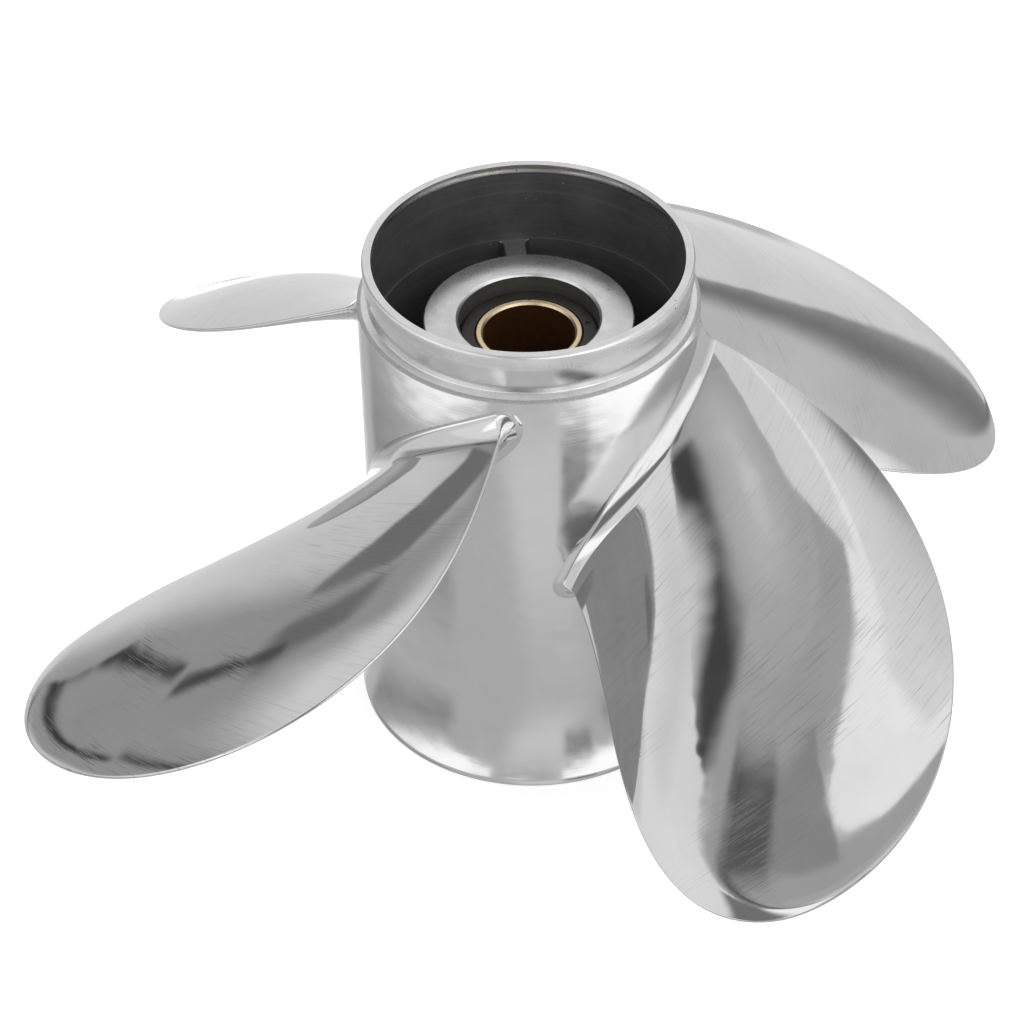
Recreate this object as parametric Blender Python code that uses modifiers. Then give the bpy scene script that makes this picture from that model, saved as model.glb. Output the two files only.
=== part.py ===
"""Four-blade outboard propeller with a through-hub exhaust and a press-in rubber hub.

The propeller stands on its flared rear rim. The origin is the centre of that rim, +Z is the shaft
axis and points to the front (stepped) end of the barrel. Right-hand helix: each blade's leading edge
is its upper end, and the suction side faces up.

Run in Blender 4.5: blender --background --python part.py. Units are metres.
"""
from math import cos, pi, radians, sin, tau

import bmesh
import bpy
import numpy as np
from mathutils import Matrix

# ---------------------------------------------------------------- driving dimensions
PROP_DIAMETER = 0.2946          # 11.6 inches over the blade tips
HUB_LENGTH = 0.1420             # rear rim to front rim
BLADE_COUNT = 4
BLADE_START = radians(-43.3)    # azimuth of the first blade's root reference line
GAP = 0.0003                    # clearance kept between solids that touch on the real part

# barrel, all depths are measured down from the front rim
COLLAR_RADIUS = 0.0422          # stepped front collar that enters the gear case
COLLAR_FOOT_RADIUS = 0.0414
COLLAR_LENGTH = 0.0120
SHOULDER_DEPTH = 0.0132         # where the rough cone reaches the barrel's full radius
BARREL_RADIUS = 0.0438
FLARE_DEPTH = 0.1120            # where the rear diffuser flare begins
REAR_RADIUS = 0.0479
RIM_BORE = 0.0398               # machined land inside the front rim
RIM_LAND = 0.0025
CORE_RADIUS = 0.0400            # as-cast inside of the barrel, ahead of the ribs
CORE_STEP_DEPTH = 0.0235
WALL = 0.0042                   # barrel wall from the ribs to the flare
REAR_WALL = 0.0026

# inner hub tube and its three ribs
INNER_DEPTH = 0.0195            # front face below the front rim
INNER_REAR_DEPTH = 0.1000
INNER_RADIUS = 0.0271
INNER_BORE = 0.0181
BORE_CHAMFER = 0.0007
RIB_COUNT = 3
RIB_START = radians(95.4)
RIB_THICKNESS = 0.0057
RIB_FILLET = 0.0022
RIB_DEPTHS = (0.0238, 0.0960)

# rubber and brass
SLEEVE_RADIUS = 0.0138
SLEEVE_BORE = 0.0119            # plain front part of the bore
SLEEVE_DEPTHS = (0.0243, 0.1050)
SPLINE_DEPTH = 0.0520           # where the taper ends and the splines begin
SPLINE_TEETH = 13
SPLINE_MINOR = 0.0095
SPLINE_MAJOR = 0.0110
RUBBER_DEPTHS = (0.0245, 0.0960)
DIMPLE_COUNT = 7
DIMPLE_START = radians(13.0)
DIMPLE_RADIUS = 0.0006

# blade offset table: fraction of the span from the barrel to the tip, then chord, skew along the
# helix, rake along the shaft, helix pitch, rise of the back (the suction side) as a share of the
# chord, and thickness
BLADE_STATIONS = (
    (0.0, 0.0750, 0.0000, 0.0000, 0.280, 0.090, 0.0085),
    (0.2, 0.0875, 0.0015, -0.0058, 0.267, 0.094, 0.0068),
    (0.4, 0.1012, 0.0064, -0.0131, 0.258, 0.092, 0.0054),
    (0.6, 0.1112, 0.0147, -0.0208, 0.256, 0.072, 0.0043),
    (0.8, 0.1174, 0.0266, -0.0296, 0.259, 0.035, 0.0034),
    (1.0, 0.1262, 0.0410, -0.0396, 0.265, -0.013, 0.0026),
)
BLADE_DEPTH = 0.0466            # root reference point below the front rim
TIP_FULLNESS = 4.6              # power of the outline's closing curve: larger is squarer
TIP_THINNING = 0.25             # power by which the thickness closes towards the tip
NOSE_POWER = 0.6                # how fast a section thickens behind its leading edge
TAIL_POWER = 0.8                # and how fast it thins towards its trailing edge
EDGE_RADIUS = 0.00045           # rounding of the leading and trailing edges
CUP_DROP = 0.0012               # trailing edge turned towards the pressure side
CUP_START = 0.80                # chord position, -1 leading edge to +1 trailing edge
FOOT_FILLET = 0.0045            # radius of the concave root fillet
FOOT_LAND = 0.0005              # height of the foot's square edge at the barrel
FOOT_SUNK = 0.0040              # how far the loft starts inside the barrel's skin

# resolution
ROUND_STEPS = 64
BORE_STEPS = 48
SPAN_STEPS = 18
TIP_SHARE = 0.992               # the last section, as a share of the quarter turn that reaches the tip
CHORD_STEPS = 13
FILLET_STEPS = 4


def height(depth):
    """Z of a depth below the front rim."""
    return HUB_LENGTH - depth


# ---------------------------------------------------------------- scene helpers
def clear_scene():
    for obj in list(bpy.data.objects):
        bpy.data.objects.remove(obj, do_unlink=True)


def new_collection(name):
    collection = bpy.data.collections.new(name)
    bpy.context.scene.collection.children.link(collection)
    return collection


def material(name, rgb, metallic, roughness):
    mat = bpy.data.materials.new(name)
    mat.use_nodes = True
    shader = mat.node_tree.nodes["Principled BSDF"]
    shader.inputs["Base Color"].default_value = (*rgb, 1.0)
    shader.inputs["Metallic"].default_value = metallic
    shader.inputs["Roughness"].default_value = roughness
    return mat


def add_object(name, mesh, collection, mat=None):
    obj = bpy.data.objects.new(name, mesh)
    collection.objects.link(obj)
    if mat:
        mesh.materials.append(mat)
    return obj


def shade_round(mesh, angle=radians(30)):
    mesh.shade_smooth()
    mesh.set_sharp_from_angle(angle=angle)


def turned(name, profile, steps, collection, mat=None):
    """A closed profile of (radius, z) points, outer side first and top to bottom, spun about Z."""
    mesh = bpy.data.meshes.new(name)
    edges = [(i, (i + 1) % len(profile)) for i in range(len(profile))]
    mesh.from_pydata([(r, 0.0, z) for r, z in profile], edges, [])
    obj = add_object(name, mesh, collection, mat)
    screw = obj.modifiers.new("turn", "SCREW")
    screw.axis = "Z"
    screw.angle = tau
    screw.steps = steps
    screw.render_steps = steps
    screw.use_merge_vertices = True
    screw.merge_threshold = 0.00001
    screw.use_smooth_shade = True
    return obj


def prism(name, outline, z_low, z_high, collection, mat=None):
    """A flat outline of (x, y) points, anticlockwise, as a solid between two heights."""
    mesh = bpy.data.meshes.new(name)
    bm = bmesh.new()
    floor = bm.faces.new([bm.verts.new((x, y, z_low)) for x, y in outline])
    floor.normal_flip()
    top = bmesh.ops.extrude_face_region(bm, geom=[floor])
    lifted = [item for item in top["geom"] if isinstance(item, bmesh.types.BMVert)]
    bmesh.ops.translate(bm, vec=(0, 0, z_high - z_low), verts=lifted)
    bmesh.ops.recalc_face_normals(bm, faces=bm.faces)
    bm.to_mesh(mesh)
    bm.free()
    return add_object(name, mesh, collection, mat)


def boolean(obj, other, operation):
    """Cut with, or join, another object. The other becomes a hidden guide."""
    modifier = obj.modifiers.new(other.name, "BOOLEAN")
    modifier.operation = operation
    modifier.solver = "EXACT"
    modifier.object = other
    other.hide_render = True
    other.display_type = "WIRE"


def polar(radius, angle):
    return radius * cos(angle), radius * sin(angle)


# ---------------------------------------------------------------- hub casting
def barrel_radius(depth):
    """Outer radius of the barrel behind the shoulder: straight, then the diffuser flare."""
    along = max(0.0, depth - FLARE_DEPTH) / (HUB_LENGTH - FLARE_DEPTH)
    return BARREL_RADIUS + (REAR_RADIUS - BARREL_RADIUS) * along ** 2


def barrel_profile():
    """Outer side from the front rim down to the rear rim, then back up the inside."""
    chamfer = 0.0005
    lip = 0.0007
    flare = np.linspace(FLARE_DEPTH, HUB_LENGTH - lip, 7)
    outer = [
        (COLLAR_RADIUS - chamfer, 0.0),
        (COLLAR_RADIUS, chamfer),
        (COLLAR_RADIUS, 0.3 * COLLAR_LENGTH),
        (COLLAR_FOOT_RADIUS, COLLAR_LENGTH),
        (BARREL_RADIUS, SHOULDER_DEPTH),
        *[(barrel_radius(depth), depth) for depth in flare],
        (REAR_RADIUS - lip, HUB_LENGTH),
    ]
    inner = [
        (REAR_RADIUS - REAR_WALL + 0.5 * lip, HUB_LENGTH),
        *[(barrel_radius(depth) - REAR_WALL, depth) for depth in flare[:0:-2]],
        (BARREL_RADIUS - WALL, 0.95 * FLARE_DEPTH),
        (BARREL_RADIUS - WALL, CORE_STEP_DEPTH),
        (CORE_RADIUS, CORE_STEP_DEPTH),
        (CORE_RADIUS, RIM_LAND),
        (RIM_BORE, RIM_LAND),
        (RIM_BORE, 0.0),
    ]
    return [(r, height(depth)) for r, depth in outer + inner]


def inner_hub_profile():
    return [(r, height(depth)) for r, depth in (
        (INNER_RADIUS - 0.0003, INNER_DEPTH),
        (INNER_RADIUS, INNER_DEPTH + 0.0003),
        (INNER_RADIUS, INNER_REAR_DEPTH - 0.0008),
        (INNER_RADIUS - 0.0008, INNER_REAR_DEPTH),
        (INNER_BORE + BORE_CHAMFER, INNER_REAR_DEPTH),
        (INNER_BORE, INNER_REAR_DEPTH - BORE_CHAMFER),
        (INNER_BORE, INNER_DEPTH + BORE_CHAMFER),
        (INNER_BORE + BORE_CHAMFER, INNER_DEPTH),
    )]


def rib_outline():
    """Plan of a rib along +X: a straight neck that flares into both tubes with concave fillets."""
    half = RIB_THICKNESS / 2
    root = INNER_RADIUS
    tip = BARREL_RADIUS - WALL
    arc = np.linspace(0.0, pi / 2, 4)
    inner_flare = [(root + RIB_FILLET * (1 - sin(a)), half + RIB_FILLET * (1 - cos(a))) for a in arc]
    outer_flare = [(tip - RIB_FILLET * (1 - sin(a)), half + RIB_FILLET * (1 - cos(a))) for a in arc]
    sunk = 0.35 * WALL
    upper = [(tip + sunk, half + RIB_FILLET), *outer_flare[::-1], *inner_flare,
             (root - sunk, half + RIB_FILLET)]
    return upper + [(x, -y) for x, y in upper[::-1]]


def hub_casting(parts, cutters, mat):
    hub = turned("hub_casting", barrel_profile(), ROUND_STEPS, parts, mat)
    inner = turned("inner_hub_tube", inner_hub_profile(), BORE_STEPS, cutters)
    boolean(hub, inner, "UNION")
    top, bottom = RIB_DEPTHS
    for index in range(RIB_COUNT):
        rib = prism(f"rib_{index + 1}", rib_outline(), height(bottom), height(top), cutters)
        rib.rotation_euler.z = RIB_START + index * tau / RIB_COUNT
        boolean(hub, rib, "UNION")
    return hub


# ---------------------------------------------------------------- blades
def station_curve(column):
    """The fair quartic along one column of the offset table."""
    table = np.array(BLADE_STATIONS)
    return np.poly1d(np.polyfit(table[:, 0], table[:, column], 4))


CHORD, SKEW, RAKE, PITCH, RISE, THICKNESS = (station_curve(column) for column in range(1, 7))


def section_outline(span):
    """Hydrofoil outline at a span fraction, as rows of (along the chord, off the helix).

    The back is a parabola over the helix, and the thickness lies under it. The outline runs along
    the back from the leading edge to the trailing edge, round that edge's nose, back along the
    pressure side and round the leading nose.
    """
    closing = max(0.0, 1 - span ** TIP_FULLNESS)
    chord = CHORD(span) * np.sqrt(closing)
    thick = max(THICKNESS(span) * closing ** TIP_THINNING - 2 * EDGE_RADIUS, 0.0)
    x = -np.cos(np.linspace(0, pi, CHORD_STEPS))
    along = SKEW(span) + x * (chord / 2 - EDGE_RADIUS)
    cup = CUP_DROP * min(1.0, 3 * span) * np.clip((x - CUP_START) / (1 - CUP_START), 0, 1) ** 2
    back = RISE(span) * chord * (1 - x ** 2) - cup
    form = (1 + x) ** NOSE_POWER * (1 - x) ** TAIL_POWER
    half = EDGE_RADIUS + thick / 2 * form / form.max()
    mean = back - half
    suction = np.stack([along, back], 1)
    pressure = np.stack([along, back - 2 * half], 1)[::-1]
    noses = []
    for end, turn in ((-1, 0.0), (0, pi)):
        angles = turn + pi / 2 - np.linspace(0, pi, 5)[1:-1]
        centre = (along[end], mean[end])
        noses.append(np.stack([centre[0] + EDGE_RADIUS * np.cos(angles),
                               centre[1] + EDGE_RADIUS * np.sin(angles)], 1))
    return np.concatenate([suction, noses[0], pressure, noses[1]])


def grow(outline, distance):
    """Move every point of a closed outline outwards along its normal."""
    ahead = np.roll(outline, -1, axis=0) - outline
    behind = outline - np.roll(outline, 1, axis=0)
    tangent = ahead / np.linalg.norm(ahead, axis=1)[:, None]
    tangent += behind / np.linalg.norm(behind, axis=1)[:, None]
    tangent /= np.linalg.norm(tangent, axis=1)[:, None]
    normal = np.stack([-tangent[:, 1], tangent[:, 0]], 1)
    return outline + distance * normal


def wrap(outline, span, radius):
    """Lay a section on its helix: the cylinder of this radius, unrolled at the pitch angle."""
    pitch = np.arctan2(PITCH(span), tau * radius)
    along, off = outline[:, 0], outline[:, 1]
    round_the_hub = -along * np.cos(pitch) - off * np.sin(pitch)
    z = height(BLADE_DEPTH) - along * np.sin(pitch) + RAKE(span) + off * np.cos(pitch)
    angle = round_the_hub / radius
    return np.stack([radius * np.cos(angle), radius * np.sin(angle), z], 1)


def blade_rings():
    """Sections from inside the barrel's skin, through the root fillet, to the tip."""
    tip_radius = PROP_DIAMETER / 2
    seat = BARREL_RADIUS + GAP + FOOT_LAND

    def span_at(radius):
        return (radius - BARREL_RADIUS) / (tip_radius - BARREL_RADIUS)

    def ring(radius, spread):
        span = max(span_at(radius), 0.0)
        return wrap(grow(section_outline(span), spread), span, radius)

    rings = [ring(BARREL_RADIUS - FOOT_SUNK, FOOT_FILLET)]
    for angle in np.linspace(0, pi / 2, FILLET_STEPS + 1):
        rings.append(ring(seat + FOOT_FILLET * (1 - cos(angle)), FOOT_FILLET * (1 - sin(angle))))
    start = np.arcsin(span_at(seat + FOOT_FILLET))
    for angle in np.linspace(start, TIP_SHARE * pi / 2, SPAN_STEPS + 1)[1:]:
        radius = BARREL_RADIUS + (tip_radius - BARREL_RADIUS) * sin(angle)
        rings.append(ring(radius, 0.0))
    return rings


def blade_mesh():
    """Loft the rings, and close the root and the tip."""
    bm = bmesh.new()
    rings = [[bm.verts.new(point) for point in ring] for ring in blade_rings()]
    count = len(rings[0])
    for lower, upper in zip(rings, rings[1:]):
        for i in range(count):
            j = (i + 1) % count
            bm.faces.new((lower[i], lower[j], upper[j], upper[i]))
    bm.faces.new(rings[0][::-1])
    bm.faces.new(rings[-1])
    bmesh.ops.triangulate(bm, faces=[face for face in bm.faces if len(face.verts) > 4])
    bmesh.ops.recalc_face_normals(bm, faces=bm.faces)
    mesh = bpy.data.meshes.new("blade")
    bm.to_mesh(mesh)
    bm.free()
    shade_round(mesh)
    return mesh


def blades(parts, cutters, mat):
    """Four copies of one blade, each foot cut to the barrel's outside."""
    inside = [
        (BARREL_RADIUS + GAP, HUB_LENGTH + GAP),
        *[(barrel_radius(depth) + GAP, height(depth))
          for depth in np.linspace(FLARE_DEPTH, HUB_LENGTH, 5)],
    ]
    core = 0.25 * BARREL_RADIUS
    profile = inside + [(core, inside[-1][1]), (core, inside[0][1])]
    seat = turned("barrel_clearance", profile, ROUND_STEPS, cutters)
    mesh = blade_mesh()
    mesh.materials.append(mat)
    for index in range(BLADE_COUNT):
        blade = add_object(f"blade_{index + 1}", mesh, parts)
        blade.rotation_euler.z = BLADE_START + index * tau / BLADE_COUNT
        boolean(blade, seat, "DIFFERENCE")


# ---------------------------------------------------------------- rubber bushing
def rubber_bushing(parts, cutters, mat):
    outer = INNER_BORE - GAP
    inner = SLEEVE_RADIUS + GAP
    top, bottom = RUBBER_DEPTHS
    lead = 0.0008
    profile = [(r, height(depth)) for r, depth in (
        (outer - lead, top), (outer, top + lead), (outer, bottom - lead), (outer - lead, bottom),
        (inner, bottom), (inner, top))]
    rubber = turned("rubber_bushing", profile, BORE_STEPS, parts, mat)
    middle = (outer - lead + inner) / 2
    for index in range(DIMPLE_COUNT):
        angle = DIMPLE_START + index * tau / DIMPLE_COUNT
        mesh = bpy.data.meshes.new(f"dimple_{index + 1}")
        bm = bmesh.new()
        bmesh.ops.create_cone(bm, cap_ends=True, segments=8, radius1=0.5 * DIMPLE_RADIUS,
                              radius2=DIMPLE_RADIUS, depth=0.003)
        bm.to_mesh(mesh)
        bm.free()
        dimple = add_object(mesh.name, mesh, cutters)
        dimple.location = (*polar(middle, angle), height(top))
        boolean(rubber, dimple, "DIFFERENCE")


# ---------------------------------------------------------------- brass drive sleeve
def spline_outline():
    """Section of the spline broach: a minor circle with thirteen flat-topped teeth."""
    pitch = tau / SPLINE_TEETH
    outline = []
    for tooth in range(SPLINE_TEETH):
        for share, radius in ((-0.30, SPLINE_MINOR), (-0.18, SPLINE_MAJOR),
                              (0.18, SPLINE_MAJOR), (0.30, SPLINE_MINOR)):
            outline.append(polar(radius, (tooth + share) * pitch))
    return outline


def drive_sleeve(parts, cutters, mat):
    top, bottom = SLEEVE_DEPTHS
    chamfer = 0.0005
    blank_bore = SPLINE_MINOR - 0.0002      # the broach only leaves the tops of the teeth standing
    profile = [(r, height(depth)) for r, depth in (
        (SLEEVE_RADIUS - 0.0003, top), (SLEEVE_RADIUS, top + 0.0003),
        (SLEEVE_RADIUS, bottom - chamfer), (SLEEVE_RADIUS - chamfer, bottom),
        (blank_bore + 2 * chamfer, bottom), (blank_bore, bottom - 2 * chamfer),
        (blank_bore, SPLINE_DEPTH), (SLEEVE_BORE, SPLINE_DEPTH - 0.004),
        (SLEEVE_BORE, top + chamfer), (SLEEVE_BORE + chamfer, top))]
    axis = bpy.data.objects.new("sleeve_axis", None)
    parts.objects.link(axis)
    axis.location = (0, 0, height((top + bottom) / 2))
    sleeve = turned("drive_sleeve", profile, BORE_STEPS, parts, mat)
    sleeve.parent = axis
    sleeve.matrix_parent_inverse = Matrix.Translation(-axis.location)
    broach = prism("spline_broach", spline_outline(), height(bottom) - 0.001,
                   height(SPLINE_DEPTH) + 0.003, cutters)
    boolean(sleeve, broach, "DIFFERENCE")


def settle_shape(obj):
    """Keep the finished shape as the object's own mesh, smooth with crisp machined edges."""
    evaluated = obj.evaluated_get(bpy.context.evaluated_depsgraph_get())
    mesh = bpy.data.meshes.new_from_object(evaluated)
    mesh.name = obj.name
    obj.modifiers.clear()
    obj.data = mesh
    shade_round(mesh)


def build():
    clear_scene()
    parts = new_collection("boat_propeller")
    cutters = new_collection("cutters")
    steel = material("cast_stainless_steel", (0.62, 0.62, 0.62), 1.0, 0.18)
    rubber = material("black_rubber", (0.015, 0.015, 0.015), 0.0, 0.45)
    brass = material("turned_brass", (0.80, 0.58, 0.34), 1.0, 0.30)
    hub_casting(parts, cutters, steel)
    blades(parts, cutters, steel)
    rubber_bushing(parts, cutters, rubber)
    drive_sleeve(parts, cutters, brass)
    bpy.context.view_layer.update()
    for obj in parts.objects:
        if obj.type == "MESH":
            settle_shape(obj)


build()
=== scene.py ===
# %% [markdown]
# # A polished outboard propeller around its CAD frame
#
# The real thing is a stainless steel casting: a barrel that the exhaust blows through, four swept
# blades, and in the middle a brass sleeve held by a ring of rubber. The CAD frame already fixes every
# size and the one moving joint. This lesson gives each part the surface that a foundry, a lathe and a
# polishing wheel leave on it.

# %% Load the fixed frame
import math
from math import cos, pi, radians, sin, tau

import bpy
import numpy as np
from mathutils import Matrix, Vector


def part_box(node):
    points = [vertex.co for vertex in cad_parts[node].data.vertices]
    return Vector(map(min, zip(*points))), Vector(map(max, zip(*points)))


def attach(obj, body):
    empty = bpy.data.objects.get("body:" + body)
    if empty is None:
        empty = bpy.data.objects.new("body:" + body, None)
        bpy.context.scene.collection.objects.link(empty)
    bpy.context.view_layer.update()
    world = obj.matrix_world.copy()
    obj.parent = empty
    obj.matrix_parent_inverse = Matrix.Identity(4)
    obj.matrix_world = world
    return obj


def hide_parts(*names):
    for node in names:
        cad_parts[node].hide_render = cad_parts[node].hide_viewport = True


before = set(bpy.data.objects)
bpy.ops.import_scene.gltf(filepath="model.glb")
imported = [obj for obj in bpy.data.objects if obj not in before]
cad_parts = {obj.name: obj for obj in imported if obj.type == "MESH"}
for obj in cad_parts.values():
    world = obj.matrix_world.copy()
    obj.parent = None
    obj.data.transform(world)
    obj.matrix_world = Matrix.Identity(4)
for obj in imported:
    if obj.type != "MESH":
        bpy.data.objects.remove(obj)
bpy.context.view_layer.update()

# %% [markdown]
# ## Sizes
#
# The frame gives the overall sizes. The few lengths below it can't give by a box, such as the depth of
# a step, are measured down from the front rim, because that is how a machinist reads the drawing.

# %% Main sizes, in metres
hub_low, hub_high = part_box("hub_casting")
tip_low, tip_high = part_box("blade_1")
HUB_LENGTH = hub_high.z
REAR_RADIUS = hub_high.x
COLLAR_RADIUS = 0.0422
COLLAR_FOOT_RADIUS = 0.0414
COLLAR_LENGTH = 0.0120
SHOULDER_DEPTH = 0.0132
BARREL_RADIUS = 0.0438
CONE_RADIUS = 0.0428             # where the turned part of the cone meets the cast part
FLARE_DEPTH = 0.1120
RIM_BORE = 0.0398
RIM_LAND = 0.0025
CORE_RADIUS = 0.0400
CORE_STEP_DEPTH = 0.0235
WALL = 0.0042
REAR_WALL = 0.0026
BLADE_COUNT = 4
BLADE_START = radians(-43.3)
ROUND = 192                     # segments round the large turned pieces


def height(depth):
    """Z of a depth below the front rim."""
    return HUB_LENGTH - depth


print(f"hub {HUB_LENGTH * 1000:.1f} mm long, rear rim {2 * REAR_RADIUS * 1000:.1f} mm across")

# %% [markdown]
# ## Working by operator
#
# Every operator acts on all that is selected, and the loaded CAD nodes arrive selected, so each step
# begins with an empty selection. These helpers wrap that habit: start a piece, pick parts of it by
# their place, and finish it.

# %% Small helpers for modelling
def deselect():
    if bpy.context.object and bpy.context.object.mode != "OBJECT":
        bpy.ops.object.mode_set(mode="OBJECT")
    bpy.ops.object.select_all(action="DESELECT")


def activate(obj):
    deselect()
    obj.select_set(True)
    bpy.context.view_layer.objects.active = obj


def name_new(name):
    obj = bpy.context.object
    obj.name = name
    obj.data.name = name
    return obj


def apply_modifier(obj, kind, **settings):
    activate(obj)
    modifier = obj.modifiers.new(kind.lower(), kind)
    for key, value in settings.items():
        setattr(modifier, key, value)
    bpy.ops.object.modifier_apply(modifier=modifier.name)


def settle(obj, smooth_angle=radians(30)):
    """Freeze the place into the mesh and shade it, so the finished object sits at the origin."""
    activate(obj)
    bpy.ops.object.transform_apply(location=True, rotation=True, scale=True)
    bpy.ops.object.shade_smooth_by_angle(angle=smooth_angle)
    print(obj.name, len(obj.data.polygons), "faces")


deselect()

# %% [markdown]
# ## Turned pieces
#
# The barrel, the inner hub, the rubber and the sleeve are all bodies of revolution. One could spin a
# profile, but growing a ring is closer to how the hand does it: add a circle where the profile starts,
# extrude its edge down to the next height, scale the new ring to its radius, and bridge the last ring
# to the first. The rings stay exact, and a bevel on the sharp ones gives the machined edges.

# %% Turn a closed profile by extruding a ring
def turn(name, profile, segments=ROUND):
    """profile: (radius, z) points, closed, down the outside and back up the inside."""
    deselect()
    radius, z = profile[0]
    bpy.ops.mesh.primitive_circle_add(vertices=segments, radius=radius, location=(0, 0, z))
    obj = name_new(name)
    bpy.ops.object.transform_apply(location=True, rotation=False, scale=False)
    bpy.ops.object.mode_set(mode="EDIT")
    bpy.ops.mesh.select_mode(type="VERT")
    bpy.ops.mesh.select_all(action="SELECT")
    for next_radius, next_z in profile[1:]:
        bpy.ops.mesh.extrude_region_move(TRANSFORM_OT_translate={"value": (0, 0, next_z - z)})
        ratio = next_radius / radius
        bpy.ops.transform.resize(value=(ratio, ratio, 1), center_override=(0, 0, next_z))
        radius, z = next_radius, next_z
    bpy.ops.mesh.select_all(action="DESELECT")
    bpy.ops.mesh.select_non_manifold()
    bpy.ops.mesh.bridge_edge_loops()
    bpy.ops.mesh.select_all(action="SELECT")
    bpy.ops.mesh.normals_make_consistent(inside=False)
    bpy.ops.object.mode_set(mode="OBJECT")
    return obj


def mark_by_place(obj, slots, choose):
    """Give the object its materials, and each face the one that choose(radius, z, normal) names."""
    order = list(slots)
    obj.data.materials.clear()
    for key in order:
        obj.data.materials.append(slots[key])
    for face in obj.data.polygons:
        centre = face.center
        out = Vector((centre.x, centre.y, 0)).normalized()
        facing = (face.normal.dot(out), face.normal.z)
        face.material_index = order.index(choose(math.hypot(centre.x, centre.y), centre.z, facing))


# %% The barrel
def flare_radius(depth):
    along = max(0.0, depth - FLARE_DEPTH) / (HUB_LENGTH - FLARE_DEPTH)
    return BARREL_RADIUS + (REAR_RADIUS - BARREL_RADIUS) * along ** 2


LIP = 0.0007
flare = np.linspace(FLARE_DEPTH, HUB_LENGTH - LIP, 22)
barrel_outside = [
    (COLLAR_RADIUS - 0.0005, 0.0),
    (COLLAR_RADIUS, 0.0005),
    (COLLAR_RADIUS - 0.0001, 0.35 * COLLAR_LENGTH),
    (COLLAR_FOOT_RADIUS, COLLAR_LENGTH - 0.0006),
    (COLLAR_FOOT_RADIUS - 0.0004, COLLAR_LENGTH - 0.0004),      # the tool's run-out groove
    (COLLAR_FOOT_RADIUS - 0.0003, COLLAR_LENGTH),
    (CONE_RADIUS, COLLAR_LENGTH + 0.0007),
    (BARREL_RADIUS, SHOULDER_DEPTH),
    *[(flare_radius(depth), depth) for depth in flare],
    (REAR_RADIUS - 0.3 * LIP, HUB_LENGTH - 0.3 * LIP),
    (REAR_RADIUS - LIP, HUB_LENGTH),
]
barrel_inside = [
    (REAR_RADIUS - REAR_WALL + 0.5 * LIP, HUB_LENGTH),
    *[(flare_radius(depth) - REAR_WALL, depth) for depth in flare[:0:-3]],
    (BARREL_RADIUS - WALL, 0.95 * FLARE_DEPTH),
    (BARREL_RADIUS - WALL, CORE_STEP_DEPTH),
    (CORE_RADIUS, CORE_STEP_DEPTH),
    (CORE_RADIUS, RIM_LAND),
    (RIM_BORE, RIM_LAND),
    (RIM_BORE, 0.0),
]
barrel = turn("hub_barrel", [(r, height(depth)) for r, depth in barrel_outside + barrel_inside])
apply_modifier(barrel, "BEVEL", width=0.00015, segments=2, limit_method="ANGLE",
               angle_limit=radians(25))
settle(barrel)

# %% [markdown]
# ## The inner hub and its ribs
#
# The tube is turned like the barrel. A rib is a cube narrowed to its neck; its two end faces are then
# extruded step by step along a quarter circle, wider each time, which gives the concave cast fillet
# where it runs into each wall.

# %% The inner hub tube
INNER_DEPTH, INNER_REAR_DEPTH = 0.0195, 0.1000
INNER_RADIUS, INNER_BORE, BORE_CHAMFER = 0.0271, 0.0181, 0.0007
inner_profile = [
    (INNER_RADIUS - 0.0003, INNER_DEPTH),
    (INNER_RADIUS, INNER_DEPTH + 0.0003),
    (INNER_RADIUS, INNER_REAR_DEPTH - 0.0008),
    (INNER_RADIUS - 0.0008, INNER_REAR_DEPTH),
    (INNER_BORE + BORE_CHAMFER, INNER_REAR_DEPTH),
    (INNER_BORE, INNER_REAR_DEPTH - BORE_CHAMFER),
    (INNER_BORE, INNER_DEPTH + BORE_CHAMFER),
    (INNER_BORE + BORE_CHAMFER, INNER_DEPTH),
]
inner_hub = turn("inner_hub_tube", [(r, height(depth)) for r, depth in inner_profile])
apply_modifier(inner_hub, "BEVEL", width=0.0001, segments=2, limit_method="ANGLE",
               angle_limit=radians(25))
settle(inner_hub)

# %% The three ribs
RIB_COUNT, RIB_START = 3, radians(95.4)
RIB_THICKNESS, RIB_FILLET, RIB_SINK = 0.0057, 0.0022, 0.0008
RIB_DEPTHS = (0.0238, 0.0960)
CORE_WALL = BARREL_RADIUS - WALL


def select_faces(obj, wanted):
    """Select, in edit mode, the faces for which wanted(centre, normal) is true."""
    bpy.ops.object.mode_set(mode="EDIT")
    bpy.ops.mesh.select_mode(type="FACE")
    bpy.ops.mesh.select_all(action="DESELECT")
    bpy.ops.object.mode_set(mode="OBJECT")
    for face in obj.data.polygons:
        face.select = wanted(face.center, face.normal)
    bpy.ops.object.mode_set(mode="EDIT")


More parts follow.
